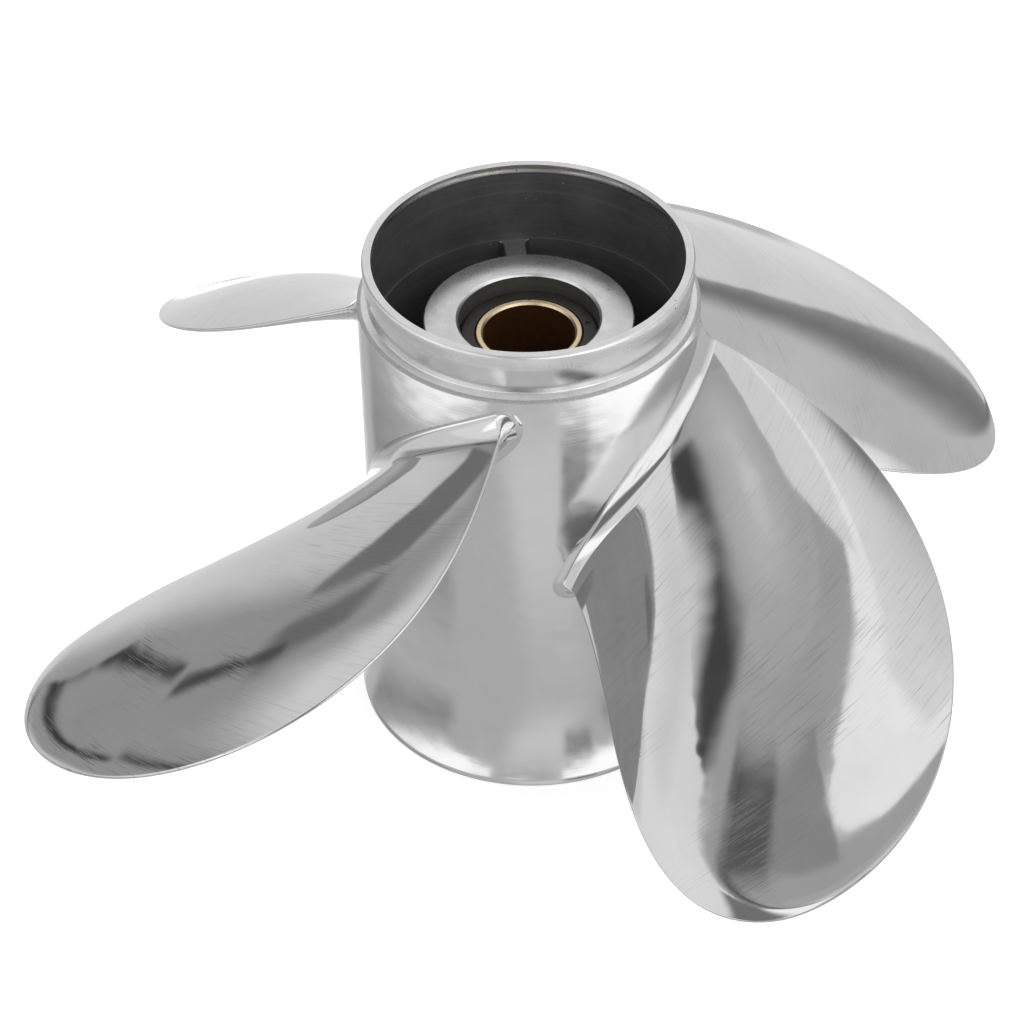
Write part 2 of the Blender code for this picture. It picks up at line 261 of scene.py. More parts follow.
def make_rib():
    top, bottom = RIB_DEPTHS
    inside, outside = INNER_RADIUS + RIB_FILLET, CORE_WALL - RIB_FILLET
    middle = (inside + outside) / 2
    deselect()
    bpy.ops.mesh.primitive_cube_add(
        size=1, location=(middle, 0, height((top + bottom) / 2)),
        scale=(outside - inside, RIB_THICKNESS, bottom - top))
    rib = name_new("hub_rib_1")
    bpy.ops.object.transform_apply(location=True, rotation=False, scale=True)
    for direction in (-1, 1):
        reach = 0.0
        width = RIB_THICKNESS
        select_faces(rib, lambda centre, normal:
                     normal.x * direction > 0.9 and (centre.x - middle) * direction > 0)
        for angle in [*np.linspace(0, pi / 2, 9)[1:], None]:
            if angle is None:
                step, wider = RIB_SINK, width
            else:
                step = RIB_FILLET * sin(angle) - reach
                reach += step
                wider = RIB_THICKNESS + 2 * RIB_FILLET * (1 - cos(angle))
            bpy.ops.mesh.extrude_region_move(TRANSFORM_OT_translate={"value": (direction * step, 0, 0)})
            bpy.ops.transform.resize(value=(1, wider / width, 1), center_override=(0, 0, 0))
            width = wider
        bpy.ops.object.mode_set(mode="OBJECT")
    apply_modifier(rib, "BEVEL", width=0.0004, segments=3, limit_method="ANGLE",
                   angle_limit=radians(40))
    return rib


def turn_about_shaft(obj, angle):
    """Turn anticlockwise seen from above. With no window the operator turns the other way."""
    activate(obj)
    bpy.ops.transform.rotate(value=-angle, orient_axis="Z", center_override=(0, 0, 0))


def copy_round(source, name, angle):
    """A copy with its own mesh, turned about the shaft axis."""
    activate(source)
    bpy.ops.object.duplicate()
    obj = name_new(name)
    turn_about_shaft(obj, angle)
    return obj


first_rib = make_rib()
ribs = [first_rib]
for index in range(1, RIB_COUNT):
    ribs.append(copy_round(first_rib, f"hub_rib_{index + 1}", index * tau / RIB_COUNT))
for rib in ribs:
    turn_about_shaft(rib, RIB_START)
    settle(rib, radians(50))

# %% [markdown]
# ## The blades
#
# A propeller blade is a stack of hydrofoil sections. Each section lies on a cylinder round the shaft,
# turned to the helix's pitch, swept back by the skew and dropped by the rake. No solid primitive has
# that form, so a ring is extruded once per section, as for the turned pieces, and each new ring is laid
# on its section by formula. The first rings carry the concave root fillet down on to the barrel.

# %% Blade sections
PROP_RADIUS = 0.1473
BLADE_STATIONS = (      # span fraction, chord, skew, rake, pitch, rise of the back, thickness
    (0.0, 0.0750, 0.0000, 0.0000, 0.280, 0.090, 0.0085),
    (0.2, 0.0875, 0.0015, -0.0058, 0.267, 0.094, 0.0068),
    (0.4, 0.1012, 0.0064, -0.0131, 0.258, 0.092, 0.0054),
    (0.6, 0.1112, 0.0147, -0.0208, 0.256, 0.072, 0.0043),
    (0.8, 0.1174, 0.0266, -0.0296, 0.259, 0.035, 0.0034),
    (1.0, 0.1262, 0.0410, -0.0396, 0.265, -0.013, 0.0026),
)
BLADE_DEPTH = 0.0466
TIP_FULLNESS = 4.6
EDGE_RADIUS = 0.00045
CUP_DROP, CUP_START = 0.0012, 0.80
FOOT_FILLET = 0.0045
CHORD_POINTS, NOSE_POINTS = 40, 7
FILLET_RINGS, SPAN_RINGS = 9, 56


def station_curve(column):
    table = np.array(BLADE_STATIONS)
    return np.poly1d(np.polyfit(table[:, 0], table[:, column], 4))


CHORD, SKEW, RAKE, PITCH, RISE, THICKNESS = (station_curve(column) for column in range(1, 7))


def section_outline(span):
    """Outline of one section: back, trailing nose, face, leading nose, as (along, off the helix)."""
    closing = max(0.0, 1 - span ** TIP_FULLNESS)
    chord = CHORD(span) * math.sqrt(closing)
    thick = max(THICKNESS(span) * closing ** 0.25 - 2 * EDGE_RADIUS, 0.0)
    x = -np.cos(np.linspace(0, pi, CHORD_POINTS))
    along = SKEW(span) + x * (chord / 2 - EDGE_RADIUS)
    cup_share = min(1.0, 3 * span, 3 * math.sqrt(closing))
    cup = CUP_DROP * cup_share * np.clip((x - CUP_START) / (1 - CUP_START), 0, 1) ** 2
    back = RISE(span) * chord * (1 - x ** 2) - cup
    form = (1 + x) ** 0.6 * (1 - x) ** 0.8
    half = EDGE_RADIUS + thick / 2 * form / form.max()
    noses = []
    for end, turned in ((-1, 0.0), (0, pi)):
        angles = turned + pi / 2 - np.linspace(0, pi, NOSE_POINTS + 2)[1:-1]
        noses.append(np.stack([along[end] + EDGE_RADIUS * np.cos(angles),
                               back[end] - half[end] + EDGE_RADIUS * np.sin(angles)], 1))
    return np.concatenate([np.stack([along, back], 1), noses[0],
                           np.stack([along, back - 2 * half], 1)[::-1], noses[1]])


def grow(outline, distance):
    """Move every point of a closed outline outwards along its normal."""
    ahead = np.roll(outline, -1, axis=0) - outline
    behind = np.roll(ahead, 1, axis=0)
    tangent = (ahead / np.linalg.norm(ahead, axis=1)[:, None]
               + behind / np.linalg.norm(behind, axis=1)[:, None])
    tangent /= np.linalg.norm(tangent, axis=1)[:, None]
    return outline + distance * np.stack([-tangent[:, 1], tangent[:, 0]], 1)


def ring_places(radius, spread):
    """World places of one section ring of the first blade."""
    span = max((radius - BARREL_RADIUS) / (PROP_RADIUS - BARREL_RADIUS), 0.0)
    outline = grow(section_outline(span), spread)
    pitch = math.atan2(PITCH(span), tau * radius)
    along, off = outline[:, 0], outline[:, 1]
    z = height(BLADE_DEPTH) - along * sin(pitch) + RAKE(span) + off * cos(pitch)
    angle = BLADE_START + (-along * cos(pitch) - off * sin(pitch)) / radius
    return np.stack([radius * np.cos(angle), radius * np.sin(angle), z], 1)


def blade_rings():
    rings = [(BARREL_RADIUS - 0.004, FOOT_FILLET)]
    for angle in np.linspace(0, pi / 2, FILLET_RINGS):
        rings.append((BARREL_RADIUS + FOOT_FILLET * (1 - cos(angle)), FOOT_FILLET * (1 - sin(angle))))
    start = math.asin(FOOT_FILLET / (PROP_RADIUS - BARREL_RADIUS))
    for angle in np.linspace(start, 0.996 * pi / 2, SPAN_RINGS)[1:]:
        rings.append((BARREL_RADIUS + (PROP_RADIUS - BARREL_RADIUS) * sin(angle), 0.0))
    return rings


print("chord, mm, at root, middle and tip:", [round(1000 * CHORD(s), 1) for s in (0, 0.5, 1)])

# %% Loft the first blade
def lay_ring(obj, count, places):
    """Put the last ring's vertices on their places."""
    bpy.ops.object.mode_set(mode="OBJECT")
    vertices = obj.data.vertices
    first = len(vertices) - count
    for index, place in enumerate(places):
        vertices[first + index].co = place
    bpy.ops.object.mode_set(mode="EDIT")


def loft_blade():
    rings = [ring_places(*ring) for ring in blade_rings()]
    count = len(rings[0])
    deselect()
    bpy.ops.mesh.primitive_circle_add(vertices=count, radius=BARREL_RADIUS)
    blade = name_new("blade_casting_1")
    bpy.ops.object.mode_set(mode="EDIT")
    bpy.ops.mesh.select_mode(type="VERT")
    bpy.ops.mesh.select_all(action="SELECT")
    lay_ring(blade, count, rings[0])
    for places in rings[1:]:
        bpy.ops.mesh.extrude_region_move(TRANSFORM_OT_translate={"value": (0, 0, 0)})
        lay_ring(blade, count, places)
    bpy.ops.mesh.edge_face_add()
    bpy.ops.mesh.select_all(action="DESELECT")
    bpy.ops.mesh.select_non_manifold()
    bpy.ops.mesh.edge_face_add()
    bpy.ops.mesh.select_all(action="SELECT")
    bpy.ops.mesh.normals_make_consistent(inside=False)
    bpy.ops.object.mode_set(mode="OBJECT")
    return blade


first_blade = loft_blade()
print("blade:", len(first_blade.data.vertices), "vertices")

# %% A blade's own coordinates
def lay_out_blade(obj):
    """UV map in metres: distance along the helix, and radius."""
    layer = obj.data.uv_layers.new(name="blade_plan")
    for loop in obj.data.loops:
        x, y, z = obj.data.vertices[loop.vertex_index].co
        radius = math.hypot(x, y)
        span = min(max((radius - BARREL_RADIUS) / (PROP_RADIUS - BARREL_RADIUS), 0.0), 1.0)
        pitch = math.atan2(PITCH(span), tau * radius)
        turned = (math.atan2(y, x) - BLADE_START) * radius
        raised = z - height(BLADE_DEPTH) - RAKE(span)
        layer.data[loop.index].uv = (-(turned * cos(pitch) + raised * sin(pitch)), radius)


# %% Seat it on the barrel
deselect()
bpy.ops.mesh.primitive_cylinder_add(
    vertices=ROUND, radius=BARREL_RADIUS - 0.00001, depth=2 * HUB_LENGTH)
seat = name_new("blade_seat_cutter")
apply_modifier(first_blade, "BOOLEAN", operation="DIFFERENCE", solver="MANIFOLD", object=seat)
bpy.data.objects.remove(seat)
lay_out_blade(first_blade)
blades = [first_blade]
for index in range(1, BLADE_COUNT):
    blades.append(copy_round(first_blade, f"blade_casting_{index + 1}", index * tau / BLADE_COUNT))
for blade in blades:
    settle(blade, radians(60))

# %% [markdown]
# ## Rubber and brass
#
# The rubber ring is a turned piece with seven small moulding dimples, cut by balls. The sleeve is
# turned, then its splines are cut with a broach: a star-shaped prism pushed up from the rear.

# %% The rubber bushing
SLEEVE_RADIUS, SLEEVE_BORE = 0.0138, 0.0119
GAP = 0.0003
RUBBER_DEPTHS = (0.0245, 0.0960)
DIMPLE_COUNT, DIMPLE_START, DIMPLE_RADIUS = 7, radians(13.0), 0.0007
rubber_top, rubber_bottom = RUBBER_DEPTHS
LEAD = 0.0008
rubber = turn("rubber_ring", [(r, height(depth)) for r, depth in (
    (INNER_BORE - 0.00005 - LEAD, rubber_top), (INNER_BORE - 0.00005, rubber_top + LEAD),
    (INNER_BORE - 0.00005, rubber_bottom - LEAD), (INNER_BORE - 0.00005 - LEAD, rubber_bottom),
    (SLEEVE_RADIUS + GAP, rubber_bottom), (SLEEVE_RADIUS + GAP, rubber_top))], 128)
dimple_place = (INNER_BORE - LEAD + SLEEVE_RADIUS) / 2
balls = []
for index in range(DIMPLE_COUNT):
    angle = DIMPLE_START + index * tau / DIMPLE_COUNT
    deselect()
    bpy.ops.mesh.primitive_uv_sphere_add(
        segments=16, ring_count=8, radius=DIMPLE_RADIUS,
        location=(dimple_place * cos(angle), dimple_place * sin(angle), height(rubber_top)))
    balls.append(bpy.context.object)
for ball in balls:
    apply_modifier(rubber, "BOOLEAN", operation="DIFFERENCE", solver="EXACT", object=ball)
    bpy.data.objects.remove(ball)
settle(rubber)

# %% The brass sleeve
SLEEVE_DEPTHS = (0.0243, 0.1050)
SPLINE_DEPTH, SPLINE_TEETH = 0.0520, 13
SPLINE_MINOR, SPLINE_MAJOR = 0.0095, 0.0110
sleeve_top, sleeve_bottom = SLEEVE_DEPTHS
CHAMFER = 0.0005
blank = SPLINE_MINOR - 0.0002
sleeve = turn("splined_sleeve", [(r, height(depth)) for r, depth in (
    (SLEEVE_RADIUS - 0.0003, sleeve_top), (SLEEVE_RADIUS, sleeve_top + 0.0003),
    (SLEEVE_RADIUS, sleeve_bottom - CHAMFER), (SLEEVE_RADIUS - CHAMFER, sleeve_bottom),
    (blank + 2 * CHAMFER, sleeve_bottom), (blank, sleeve_bottom - 2 * CHAMFER),
    (blank, SPLINE_DEPTH), (SLEEVE_BORE, SPLINE_DEPTH - 0.004),
    (SLEEVE_BORE, sleeve_top + CHAMFER), (SLEEVE_BORE + CHAMFER, sleeve_top))], 128)


def make_broach():
    """A disc with one vertex per flank point, pressed to the spline's outline and extruded."""
    flanks = ((-0.30, SPLINE_MINOR), (-0.18, SPLINE_MAJOR), (0.18, SPLINE_MAJOR), (0.30, SPLINE_MINOR))
    deselect()
    bpy.ops.mesh.primitive_circle_add(
        vertices=len(flanks) * SPLINE_TEETH, radius=SPLINE_MAJOR, fill_type="NGON",
        location=(0, 0, height(sleeve_bottom) - 0.001))
    broach = name_new("spline_broach")
    bpy.ops.object.transform_apply(location=True, rotation=False, scale=False)
    for index, vertex in enumerate(broach.data.vertices):
        tooth, flank = divmod(index, len(flanks))
        share, radius = flanks[flank]
        angle = (tooth + share) * tau / SPLINE_TEETH
        vertex.co.x, vertex.co.y = radius * cos(angle), radius * sin(angle)
    bpy.ops.object.mode_set(mode="EDIT")
    bpy.ops.mesh.select_all(action="SELECT")
    length = sleeve_bottom - SPLINE_DEPTH + 0.004
    bpy.ops.mesh.extrude_region_move(TRANSFORM_OT_translate={"value": (0, 0, length)})
    bpy.ops.mesh.select_all(action="SELECT")
    bpy.ops.mesh.normals_make_consistent(inside=False)
    bpy.ops.object.mode_set(mode="OBJECT")
    return broach


broach = make_broach()
apply_modifier(sleeve, "BOOLEAN", operation="DIFFERENCE", solver="EXACT", object=broach)
bpy.data.objects.remove(broach)
settle(sleeve)

# %% [markdown]
# ## Finishes
#
# A colour picked on a screen is an sRGB value, and the shader wants linear light, so one function turns
# the hex code round. Another adds a node with its settings and its links. Every pattern is scaled from a
# real size: a noise texture on Object coordinates repeats about once in 1 / scale metres.

# %% Colour and node helpers
def colour(code):
    parts = [int(code[i:i + 2], 16) / 255 for i in (1, 3, 5)]
    return (*[v / 12.92 if v <= 0.04045 else ((v + 0.055) / 1.055) ** 2.4 for v in parts], 1.0)


def per(millimetres):
    """Texture scale whose features are about this many millimetres apart."""
    return 1000.0 / millimetres


def add_node(tree, kind, inputs=None, **settings):
    """Add a node, set it, and link or set its inputs, which are named by socket name or index."""
    node = tree.nodes.new(kind)
    for key, value in settings.items():
        setattr(node, key, value)
    for key, value in (inputs or {}).items():
        if isinstance(value, bpy.types.NodeSocket):
            tree.links.new(value, node.inputs[key])
        else:
            node.inputs[key].default_value = value
    return node


def new_material(name, **shader_values):
    material = bpy.data.materials.new(name)
    material.use_nodes = True
    shader = material.node_tree.nodes["Principled BSDF"]
    for key, value in shader_values.items():
        shader.inputs[key.replace("_", " ")].default_value = value
    return material, material.node_tree, shader


# %% [markdown]
# ### Mirror-polished stainless for the blades
#
# The blades are investment cast in stainless, ground, then polished on soft wheels until they mirror
# the room. What the eye sees is mostly the room, but three faults give the metal away: a slow waviness
# left by the wheel, cloudy patches where the polish is less deep, and fine scratches that run along the
# chord, the way the grinding belt went. The scratches need a direction, so they read a UV map that
# holds the place on the blade in metres: along the chord, and out from the shaft.

# %% Mirror-polished cast stainless
def mirror_polished_stainless():
    material, tree, shader = new_material("mirror_polished_cast_stainless", Metallic=1.0)
    place = add_node(tree, "ShaderNodeTexCoord").outputs["Object"]
    plan = add_node(tree, "ShaderNodeUVMap", uv_map="blade_plan").outputs["UV"]
    clouds = add_node(tree, "ShaderNodeTexNoise", {"Vector": place, "Scale": per(22), "Detail": 3.0,
                                                   "Roughness": 0.55}).outputs["Fac"]
    tone = add_node(tree, "ShaderNodeMix", {0: clouds, 6: colour("#C2C2C2"), 7: colour("#D6D6D6")},
                    data_type="RGBA")
    scratch_place = add_node(tree, "ShaderNodeMapping", {"Vector": plan, "Scale": (0.03, 1.0, 1.0)})
    scratches = add_node(tree, "ShaderNodeTexNoise", {"Vector": scratch_place.outputs["Vector"],
                                                      "Scale": per(0.45), "Detail": 3.0,
                                                      "Roughness": 0.65}).outputs["Fac"]
    zone = add_node(tree, "ShaderNodeTexNoise", {"Vector": place, "Scale": per(30), "Detail": 2.0})
    zone_share = add_node(tree, "ShaderNodeMapRange", {"Value": zone.outputs["Fac"], "From Min": 0.42,
                                                       "From Max": 0.62})
    cut = add_node(tree, "ShaderNodeMapRange", {"Value": scratches, "From Min": 0.54, "From Max": 0.74})
    depth = add_node(tree, "ShaderNodeMath", {0: cut.outputs[0], 1: zone_share.outputs["Result"]},
                     operation="MULTIPLY")
    shaded = add_node(tree, "ShaderNodeMix", {0: depth.outputs[0], 6: tone.outputs[2],
                                              7: colour("#A6A6A6")}, data_type="RGBA")
    gloss = add_node(tree, "ShaderNodeMapRange", {"Value": clouds, "From Min": 0.3, "From Max": 0.7,
                                                  "To Min": 0.03, "To Max": 0.08})
    rough = add_node(tree, "ShaderNodeMath", {0: depth.outputs[0], 1: 0.12, 2: gloss.outputs["Result"]},
                     operation="MULTIPLY_ADD")
    waves = add_node(tree, "ShaderNodeTexNoise", {"Vector": place, "Scale": per(15), "Detail": 1.5})
    wavy = add_node(tree, "ShaderNodeBump", {"Height": waves.outputs["Fac"], "Strength": 0.6,
                                             "Distance": 0.00015})
    scratched = add_node(tree, "ShaderNodeBump", {"Height": depth.outputs[0], "Strength": 0.3,
                                                  "Distance": 0.00001, "Normal": wavy.outputs[0]})
    tree.links.new(shaded.outputs[2], shader.inputs["Base Color"])
    tree.links.new(rough.outputs[0], shader.inputs["Roughness"])
    tree.links.new(scratched.outputs["Normal"], shader.inputs["Normal"])
    return material


# %% [markdown]
# ### Buffed stainless for the barrel
#
# The barrel gets less time on the wheel than the blades. Its reflections are softer, cloudy where the
# belt crossed the curve, and there are faint marks round it.

# %% Buffed cast stainless
def buffed_stainless():
    material, tree, shader = new_material("buffed_cast_stainless", Metallic=1.0)
    place = add_node(tree, "ShaderNodeTexCoord").outputs["Object"]
    clouds = add_node(tree, "ShaderNodeTexNoise", {"Vector": place, "Scale": per(13), "Detail": 4.0,
                                                   "Roughness": 0.6}).outputs["Fac"]
    tone = add_node(tree, "ShaderNodeMix", {0: clouds, 6: colour("#C9C9C9"), 7: colour("#DADADA")},
                    data_type="RGBA")
    belt_place = add_node(tree, "ShaderNodeMapping", {"Vector": place, "Scale": (0.06, 0.06, 1.0)})
    belt = add_node(tree, "ShaderNodeTexNoise", {"Vector": belt_place.outputs["Vector"],
                                                 "Scale": per(0.6), "Detail": 3.0}).outputs["Fac"]
    gloss = add_node(tree, "ShaderNodeMapRange", {"Value": clouds, "From Min": 0.3, "From Max": 0.7,
                                                  "To Min": 0.08, "To Max": 0.17})
    waves = add_node(tree, "ShaderNodeTexNoise", {"Vector": place, "Scale": per(16), "Detail": 2.0})
    wavy = add_node(tree, "ShaderNodeBump", {"Height": waves.outputs["Fac"], "Strength": 0.6,
                                             "Distance": 0.0003})
    marked = add_node(tree, "ShaderNodeBump", {"Height": belt, "Strength": 0.15, "Distance": 0.00003,
                                               "Normal": wavy.outputs[0]})
    tree.links.new(tone.outputs[2], shader.inputs["Base Color"])
    tree.links.new(gloss.outputs["Result"], shader.inputs["Roughness"])
    tree.links.new(marked.outputs["Normal"], shader.inputs["Normal"])
    return material


# %% [markdown]
# ### Lathe-turned faces
#
# The collar, the rims and the inner hub's face are cut on a lathe. A tool leaves rings round the shaft,
# finer than a tenth of a millimetre. Rings that fine would vanish, so they are drawn about 0.3 mm
# apart. They come from a noise that reads only the radius and the height.

# %% Lathe-turned stainless
def turned_place(tree):
    """Radius and height as a texture place, so that a pattern runs in rings round the shaft."""
    place = add_node(tree, "ShaderNodeTexCoord").outputs["Object"]
    split = add_node(tree, "ShaderNodeSeparateXYZ", {0: place}).outputs
    flat = add_node(tree, "ShaderNodeCombineXYZ", {0: split[0], 1: split[1]})
    radius = add_node(tree, "ShaderNodeVectorMath", {0: flat.outputs[0]}, operation="LENGTH")
    ring = add_node(tree, "ShaderNodeCombineXYZ", {0: radius.outputs["Value"], 1: split[2]})
    return place, ring.outputs[0]


def turned_stainless(name, dark, light, rough_high, rough_low):
    material, tree, shader = new_material(name, Metallic=1.0)
    place, ring = turned_place(tree)
    rings = add_node(tree, "ShaderNodeTexNoise", {"Vector": ring, "Scale": per(0.3),
                                                  "Detail": 2.0}).outputs["Fac"]
    stains = add_node(tree, "ShaderNodeTexNoise", {"Vector": place, "Scale": per(6), "Detail": 5.0,
                                                   "Roughness": 0.65}).outputs["Fac"]
    tone = add_node(tree, "ShaderNodeMix", {0: stains, 6: colour(dark), 7: colour(light)},
                    data_type="RGBA")
    nicks = add_node(tree, "ShaderNodeTexVoronoi", {"Vector": place, "Scale": per(2.6)})
    near = add_node(tree, "ShaderNodeMapRange", {"Value": nicks.outputs["Distance"], "From Min": 0.07,
                                                 "From Max": 0.13, "To Min": 1.0, "To Max": 0.0})
    few = add_node(tree, "ShaderNodeSeparateColor", {0: nicks.outputs["Color"]})
    chosen = add_node(tree, "ShaderNodeMath", {0: few.outputs[0], 1: 0.90}, operation="GREATER_THAN")
    nick = add_node(tree, "ShaderNodeMath", {0: near.outputs["Result"], 1: chosen.outputs[0]},
                    operation="MULTIPLY")
    nicked = add_node(tree, "ShaderNodeMix", {0: nick.outputs[0], 6: tone.outputs[2],
                                              7: colour("#5E5E5E")}, data_type="RGBA")
    gloss = add_node(tree, "ShaderNodeMapRange", {"Value": stains, "From Min": 0.3, "From Max": 0.7,
                                                  "To Min": rough_high, "To Max": rough_low})
    bump = add_node(tree, "ShaderNodeBump", {"Height": rings, "Strength": 0.15, "Distance": 0.00002})
    pitted = add_node(tree, "ShaderNodeBump", {"Height": nick.outputs[0], "Strength": 0.6,
                                               "Distance": 0.0001, "Normal": bump.outputs[0]},
                      invert=True)
    tree.links.new(nicked.outputs[2], shader.inputs["Base Color"])
    tree.links.new(gloss.outputs["Result"], shader.inputs["Roughness"])
    tree.links.new(pitted.outputs["Normal"], shader.inputs["Normal"])
    return material


# %% [markdown]
# ### Cast skin
#
# Where no tool has been, the metal keeps the skin of the ceramic mould. On the cone behind the collar
# it is light grey and gritty. Inside the barrel it is dark from the heat, with bright specks where a
# grain of the mould broke away.

# %% Gritty cast skin of the cone, and of the ribs
def gritty_cast_skin():
    material, tree, shader = new_material("gritty_cast_stainless_skin", Metallic=1.0)
    place = add_node(tree, "ShaderNodeTexCoord").outputs["Object"]
    grit = add_node(tree, "ShaderNodeTexNoise", {"Vector": place, "Scale": per(0.6), "Detail": 4.0,
                                                 "Roughness": 0.7}).outputs["Fac"]
    tone = add_node(tree, "ShaderNodeMix", {0: grit, 6: colour("#8C8C8C"), 7: colour("#DCDCDC")},
                    data_type="RGBA")
    bump = add_node(tree, "ShaderNodeBump", {"Height": grit, "Strength": 0.7, "Distance": 0.0002})
    shader.inputs["Roughness"].default_value = 0.38
    tree.links.new(tone.outputs[2], shader.inputs["Base Color"])
    tree.links.new(bump.outputs["Normal"], shader.inputs["Normal"])
    return material


# %% Dark cast skin inside the barrel
def dark_cast_skin():
    material, tree, shader = new_material("heat_darkened_cast_skin", Metallic=0.5, Roughness=0.42)
    place, ring = turned_place(tree)
    clouds = add_node(tree, "ShaderNodeTexNoise", {"Vector": place, "Scale": per(11), "Detail": 5.0,
                                                   "Roughness": 0.6}).outputs["Fac"]
    tone = add_node(tree, "ShaderNodeMix", {0: clouds, 6: colour("#4A4A4A"), 7: colour("#767676")},
                    data_type="RGBA")
    rub = add_node(tree, "ShaderNodeTexNoise", {"Vector": ring, "Scale": per(1.6), "Detail": 4.0,
                                                "Roughness": 0.7}).outputs["Fac"]
    rub_share = add_node(tree, "ShaderNodeMapRange", {"Value": rub, "From Min": 0.52, "From Max": 0.75,
                                                      "To Max": 0.3}).outputs["Result"]
    rubbed = add_node(tree, "ShaderNodeMix", {0: rub_share, 6: tone.outputs[2],
                                              7: colour("#9A9A9A")}, data_type="RGBA")
    specks = add_node(tree, "ShaderNodeTexVoronoi", {"Vector": place, "Scale": per(2.4)})
    near = add_node(tree, "ShaderNodeMapRange", {"Value": specks.outputs["Distance"], "From Min": 0.05,
                                                 "From Max": 0.10, "To Min": 1.0, "To Max": 0.0})
    few = add_node(tree, "ShaderNodeSeparateColor", {0: specks.outputs["Color"]})
    chosen = add_node(tree, "ShaderNodeMath", {0: few.outputs[0], 1: 0.78}, operation="GREATER_THAN")
    speck = add_node(tree, "ShaderNodeMath", {0: near.outputs["Result"], 1: chosen.outputs[0]},
                     operation="MULTIPLY")
    speckled = add_node(tree, "ShaderNodeMix", {0: speck.outputs[0], 6: rubbed.outputs[2],
                                                7: colour("#BEBEBE")}, data_type="RGBA")
    grit = add_node(tree, "ShaderNodeTexNoise", {"Vector": place, "Scale": per(0.8), "Detail": 3.0})
    bump = add_node(tree, "ShaderNodeBump", {"Height": grit.outputs["Fac"], "Strength": 0.35,
                                             "Distance": 0.0001})
    tree.links.new(speckled.outputs[2], shader.inputs["Base Color"])
    tree.links.new(bump.outputs["Normal"], shader.inputs["Normal"])
    return material


# %% [markdown]
# ### Rubber and brass
#
# The bushing is natural rubber filled with carbon black, moulded, so it is a soft black with a faint
# sheen. The sleeve is leaded brass: bright where the lathe faced it, dark brown down the oiled bore.

# %% Moulded rubber
def moulded_rubber():
    material, tree, shader = new_material("moulded_black_rubber", Metallic=0.0, IOR=1.52)
    place = add_node(tree, "ShaderNodeTexCoord").outputs["Object"]
    bloom = add_node(tree, "ShaderNodeTexNoise", {"Vector": place, "Scale": per(4), "Detail": 4.0})
    tone = add_node(tree, "ShaderNodeMix", {0: bloom.outputs["Fac"], 6: colour("#1C1A17"),
                                            7: colour("#39342E")}, data_type="RGBA")
    gloss = add_node(tree, "ShaderNodeMapRange", {"Value": bloom.outputs["Fac"], "To Min": 0.3,
                                                  "To Max": 0.55})
    grain = add_node(tree, "ShaderNodeTexNoise", {"Vector": place, "Scale": per(0.5), "Detail": 2.0})
    bump = add_node(tree, "ShaderNodeBump", {"Height": grain.outputs["Fac"], "Strength": 0.3,
                                             "Distance": 0.00005})
    tree.links.new(tone.outputs[2], shader.inputs["Base Color"])
    tree.links.new(gloss.outputs["Result"], shader.inputs["Roughness"])
    tree.links.new(bump.outputs["Normal"], shader.inputs["Normal"])
    return material


# %% Turned brass and the oiled bore
def brass(name, dark, light, rough_low, rough_high, metallic):
    material, tree, shader = new_material(name, Metallic=metallic)
    place, ring = turned_place(tree)
    stains = add_node(tree, "ShaderNodeTexNoise", {"Vector": place, "Scale": per(1.6), "Detail": 4.0,
                                                   "Roughness": 0.7}).outputs["Fac"]
    tone = add_node(tree, "ShaderNodeMix", {0: stains, 6: colour(dark), 7: colour(light)},
                    data_type="RGBA")
    gloss = add_node(tree, "ShaderNodeMapRange", {"Value": stains, "To Min": rough_low,
                                                  "To Max": rough_high})
    rings = add_node(tree, "ShaderNodeTexNoise", {"Vector": ring, "Scale": per(0.25), "Detail": 2.0})
    bump = add_node(tree, "ShaderNodeBump", {"Height": rings.outputs["Fac"], "Strength": 0.4,
                                             "Distance": 0.00005})
    tree.links.new(tone.outputs[2], shader.inputs["Base Color"])
    tree.links.new(gloss.outputs["Result"], shader.inputs["Roughness"])
    tree.links.new(bump.outputs["Normal"], shader.inputs["Normal"])
    return material


# %% Finish every piece
mirror = mirror_polished_stainless()
buffed = buffed_stainless()
turned_steel = turned_stainless("lathe_turned_stainless", "#D0D0D0", "#F0F0F0", 0.34, 0.22)
collar_steel = turned_stainless("fine_turned_stainless", "#CFCFCF", "#E0E0E0", 0.22, 0.12)
gritty = gritty_cast_skin()
dark_skin = dark_cast_skin()
rubber_black = moulded_rubber()
faced_brass = brass("lathe_faced_brass", "#DCC094", "#FBEBD0", 0.20, 0.40, 1.0)
oiled_bore = brass("oiled_brass_bore", "#4A2E18", "#6C4729", 0.30, 0.50, 0.4)


def barrel_finish(radius, z, facing):
    depth = HUB_LENGTH - z
    outward, upward = facing
    if depth < RIM_LAND + 0.0001 or abs(upward) > 0.95 and depth > HUB_LENGTH - 0.001:
        return "turned"
    if outward < -0.2 or depth < CORE_STEP_DEPTH + 0.001 and radius < CORE_WALL + 0.0004:
        return "dark"
    if depth < COLLAR_LENGTH - 0.0003:
        return "collar"
    if depth < SHOULDER_DEPTH + 0.0001:
        return "gritty" if radius > CONE_RADIUS else "turned"
    return "buffed"


def inner_hub_finish(radius, z, facing):
    outward, upward = facing
    return "turned" if upward > 0.3 else "dark"


def sleeve_finish(radius, z, facing):
    outward, upward = facing
    inside = outward < -0.2 and z < height(sleeve_top) - CHAMFER - 0.0004
    return "bore" if inside else "faced"


